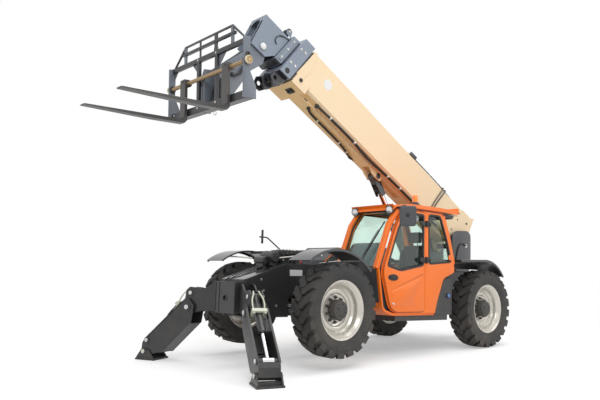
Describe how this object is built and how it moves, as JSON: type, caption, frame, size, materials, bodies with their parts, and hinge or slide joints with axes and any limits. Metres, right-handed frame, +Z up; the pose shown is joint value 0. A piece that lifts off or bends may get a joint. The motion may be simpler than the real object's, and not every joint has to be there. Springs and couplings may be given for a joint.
{
  "type": "telehandler",
  "caption": "Telescopic handler with an offset cab, a raised sectioned boom carrying a fork carriage, steered wheels and splayed front outriggers.",
  "frame": {"origin": "on the ground under the middle of the machine's length, on the chassis centre line", "axes": "+X towards the forks, +Y to the machine's left (cab side), +Z up"},
  "size_m": [7.5772, 3.2898, 5.1117],
  "materials": {
    "cab_paint": "gloss",
    "boom_paint": "satin",
    "head_paint": "satin",
    "frame_paint": "satin",
    "rim_paint": "satin",
    "fender_plastic": "matt",
    "lamp_plastic": "gloss",
    "lamp_lens": "gloss",
    "tail_lens": "gloss",
    "trim_plastic": "matt",
    "tyre_rubber": "matt",
    "cab_glazing": "clear",
    "seat_cloth": "woven",
    "cylinder_paint": "gloss",
    "rod_chrome": "polished",
    "fork_steel": "worn",
    "shaft_paint": "satin",
    "engine_iron": "as cast"
  },
  "bodies": {
    "chassis": {"chassis_frame": "frame_paint", "counterweight": "frame_paint", "outrigger_head": "frame_paint", "front_axle": "frame_paint", "rear_axle": "frame_paint", "front_fenders": "fender_plastic", "rear_fenders": "fender_plastic", "engine_bay": "frame_paint", "engine_block": "engine_iron", "cab_shell": "cab_paint", "cab_glass": "cab_glazing", "cab_roof": "cab_paint", "seat": "seat_cloth", "console": "trim_plastic", "cab_step": "frame_paint", "mirrors": "trim_plastic", "valve_block": "frame_paint", "beacon": "lamp_plastic", "work_lamps": "lamp_lens", "tail_lamps": "tail_lens"},
    "door": {"cab_door": "cab_paint", "door_glass": "cab_glazing"},
    "hood": {"engine_hood": "cab_paint"},
    "boom": {"boom_base": "boom_paint"},
    "second_section": {"boom_second": "head_paint"},
    "third_section": {"boom_third": "head_paint"},
    "fly_section": {"boom_fly": "head_paint", "tilt_barrel": "cylinder_paint"},
    "lift_barrel": {"lift_barrel": "cylinder_paint"},
    "lift_clevis": {"lift_clevis": "cylinder_paint"},
    "lift_rod": {"lift_rod": "rod_chrome"},
    "tilt_rod": {"tilt_rod": "rod_chrome"},
    "carriage": {"carriage": "head_paint", "fork_shaft": "shaft_paint"},
    "fork_left": {"fork_left": "fork_steel"},
    "fork_right": {"fork_right": "fork_steel"},
    "front_knuckle_left": {"front_knuckle_left": "frame_paint"},
    "front_wheel_left": {"front_rim_left": "rim_paint", "front_tyre_left": "tyre_rubber"},
    "front_knuckle_right": {"front_knuckle_right": "frame_paint"},
    "front_wheel_right": {"front_rim_right": "rim_paint", "front_tyre_right": "tyre_rubber"},
    "rear_knuckle_left": {"rear_knuckle_left": "frame_paint"},
    "rear_wheel_left": {"rear_rim_left": "rim_paint", "rear_tyre_left": "tyre_rubber"},
    "rear_knuckle_right": {"rear_knuckle_right": "frame_paint"},
    "rear_wheel_right": {"rear_rim_right": "rim_paint", "rear_tyre_right": "tyre_rubber"},
    "leg_left": {"outrigger_leg_left": "frame_paint"},
    "foot_left": {"outrigger_foot_left": "frame_paint"},
    "leg_barrel_left": {"outrigger_barrel_left": "cylinder_paint"},
    "leg_rod_left": {"outrigger_rod_left": "rod_chrome"},
    "leg_right": {"outrigger_leg_right": "frame_paint"},
    "foot_right": {"outrigger_foot_right": "frame_paint"},
    "leg_barrel_right": {"outrigger_barrel_right": "cylinder_paint"},
    "leg_rod_right": {"outrigger_rod_right": "rod_chrome"}
  },
  "joints": [
    {"name": "boom_lift", "type": "hinge", "parent": "chassis", "child": "boom", "pos_m": [-3.23737, 0, 1.74547], "axis": [0, -1, 0], "range_deg": [-30.5, 41.5]},
    {"name": "boom_extend", "type": "slide", "parent": "boom", "child": "second_section", "axis": [0.8576, 0, 0.5143], "range_m": [0, 3.4]},
    {"name": "third_extend", "type": "slide", "parent": "second_section", "child": "third_section", "axis": [0.8576, 0, 0.5143], "range_m": [0, 3.4]},
    {"name": "fly_extend", "type": "slide", "parent": "third_section", "child": "fly_section", "axis": [0.8576, 0, 0.5143], "range_m": [0, 3.4]},
    {"name": "lift_cylinder_swing", "type": "hinge", "parent": "chassis", "child": "lift_barrel", "pos_m": [-2.45373, 0, 0.85815], "axis": [0, -1, 0], "range_deg": [-25.06, 34.08]},
    {"name": "lift_rod_slide", "type": "slide", "parent": "lift_barrel", "child": "lift_rod", "axis": [0.5295, 0, 0.8483], "range_m": [-0.5493, 0.747]},
    {"name": "lift_eye_swing", "type": "hinge", "parent": "boom", "child": "lift_clevis", "pos_m": [-1.16968, 0, 2.91545], "axis": [0, -1, 0], "range_deg": [-7.52, 5.54]},
    {"name": "fork_tilt", "type": "hinge", "parent": "fly_section", "child": "carriage", "pos_m": [1.39206, 0, 4.60324], "axis": [0, 1, 0], "range_deg": [-46, 45]},
    {"name": "tilt_rod_slide", "type": "slide", "parent": "fly_section", "child": "tilt_rod", "axis": [0.9109, 0, 0.4127], "range_m": [-0.0973, 0.0952]},
    {"name": "fork_left_slide", "type": "slide", "parent": "carriage", "child": "fork_left", "axis": [0, 1, 0], "range_m": [-0.2, 0.28]},
    {"name": "fork_right_slide", "type": "slide", "parent": "carriage", "child": "fork_right", "axis": [0, -1, 0], "range_m": [-0.2, 0.28]},
    {"name": "front_steer_left", "type": "hinge", "parent": "chassis", "child": "front_knuckle_left", "pos_m": [0.82483, 0.94, 0.79825], "axis": [-0.0427, 0, 0.9991], "range_deg": [-35, 35]},
    {"name": "front_wheel_left", "type": "hinge", "parent": "front_knuckle_left", "child": "front_wheel_left", "pos_m": [0.82483, 1.084, 0.79825], "axis": [0, 1, 0], "continuous": true},
    {"name": "front_steer_right", "type": "hinge", "parent": "chassis", "child": "front_knuckle_right", "pos_m": [0.82483, -0.94, 0.79825], "axis": [-0.0427, 0, 0.9991], "range_deg": [-35, 35]},
    {"name": "front_wheel_right", "type": "hinge", "parent": "front_knuckle_right", "child": "front_wheel_right", "pos_m": [0.82483, -1.084, 0.79825], "axis": [0, 1, 0], "continuous": true},
    {"name": "rear_steer_left", "type": "hinge", "parent": "chassis", "child": "rear_knuckle_left", "pos_m": [-2.64, 0.94, 0.65], "axis": [-0.0427, 0, 0.9991], "range_deg": [-35, 35]},
    {"name": "rear_wheel_left", "type": "hinge", "parent": "rear_knuckle_left", "child": "rear_wheel_left", "pos_m": [-2.64, 1.084, 0.65], "axis": [0, 1, 0], "continuous": true},
    {"name": "rear_steer_right", "type": "hinge", "parent": "chassis", "child": "rear_knuckle_right", "pos_m": [-2.64, -0.94, 0.65], "axis": [-0.0427, 0, 0.9991], "range_deg": [-35, 35]},
    {"name": "rear_wheel_right", "type": "hinge", "parent": "rear_knuckle_right", "child": "rear_wheel_right", "pos_m": [-2.64, -1.084, 0.65], "axis": [0, 1, 0], "continuous": true},
    {"name": "cab_door", "type": "hinge", "parent": "chassis", "child": "door", "pos_m": [-1.0594, 1.2, 1.41827], "axis": [-0.0427, 0, 0.9991], "range_deg": [0, 105]},
    {"name": "engine_hood", "type": "hinge", "parent": "chassis", "child": "hood", "pos_m": [-1.0825, -0.34, 1.67752], "axis": [-0.9991, 0, -0.0427], "range_deg": [0, 75]},
    {"name": "outrigger_left", "type": "hinge", "parent": "chassis", "child": "leg_left", "pos_m": [1.94008, 0.76337, 0.79092], "axis": [0.9224, -0.3843, 0.0395], "range_deg": [-8, 105]},
    {"name": "outrigger_foot_left", "type": "hinge", "parent": "leg_left", "child": "foot_left", "pos_m": [2.24955, 1.43731, 0.12053], "axis": [-0.9224, 0.3843, -0.0395], "range_deg": [-20, 20]},
    {"name": "outrigger_cylinder_left", "type": "hinge", "parent": "chassis", "child": "leg_barrel_left", "pos_m": [1.92172, 0.74029, 0.99532], "axis": [0.9224, -0.3843, 0.0395], "range_deg": [-8.05, 105.05]},
    {"name": "outrigger_rod_left", "type": "slide", "parent": "leg_barrel_left", "child": "leg_rod_left", "axis": [0.3012, 0.6514, -0.6963], "range_m": [-0.3272, 0.0259]},
    {"name": "outrigger_right", "type": "hinge", "parent": "chassis", "child": "leg_right", "pos_m": [1.94008, -0.76337, 0.79092], "axis": [-0.9224, -0.3843, -0.0395], "range_deg": [-8, 105]},
    {"name": "outrigger_foot_right", "type": "hinge", "parent": "leg_right", "child": "foot_right", "pos_m": [2.24955, -1.43731, 0.12053], "axis": [0.9224, 0.3843, 0.0395], "range_deg": [-20, 20]},
    {"name": "outrigger_cylinder_right", "type": "hinge", "parent": "chassis", "child": "leg_barrel_right", "pos_m": [1.92172, -0.74029, 0.99532], "axis": [-0.9224, -0.3843, -0.0395], "range_deg": [-8.05, 105.05]},
    {"name": "outrigger_rod_right", "type": "slide", "parent": "leg_barrel_right", "child": "leg_rod_right", "axis": [0.3012, -0.6514, -0.6963], "range_m": [-0.3272, 0.0259]}
  ],
  "couplings": [
    {"joint": "third_extend", "follows": "boom_extend", "ratio": 1},
    {"joint": "fly_extend", "follows": "boom_extend", "ratio": 1},
    {"joint": "lift_eye_swing", "follows": "boom_lift", "ratio": -0.18},
    {"joint": "lift_cylinder_swing", "follows": "boom_lift", "ratio": 0.82},
    {"joint": "lift_rod_slide", "follows": "boom_lift", "m_per_rad": 1.03},
    {"joint": "tilt_rod_slide", "follows": "fork_tilt", "m_per_rad": 0.12},
    {"joint": "front_steer_right", "follows": "front_steer_left", "ratio": 1},
    {"joint": "rear_steer_right", "follows": "rear_steer_left", "ratio": 1},
    {"joint": "outrigger_cylinder_left", "follows": "outrigger_left", "ratio": 1},
    {"joint": "outrigger_rod_left", "follows": "outrigger_left", "m_per_rad": -0.178},
    {"joint": "outrigger_cylinder_right", "follows": "outrigger_right", "ratio": 1},
    {"joint": "outrigger_rod_right", "follows": "outrigger_right", "m_per_rad": -0.178}
  ]
}
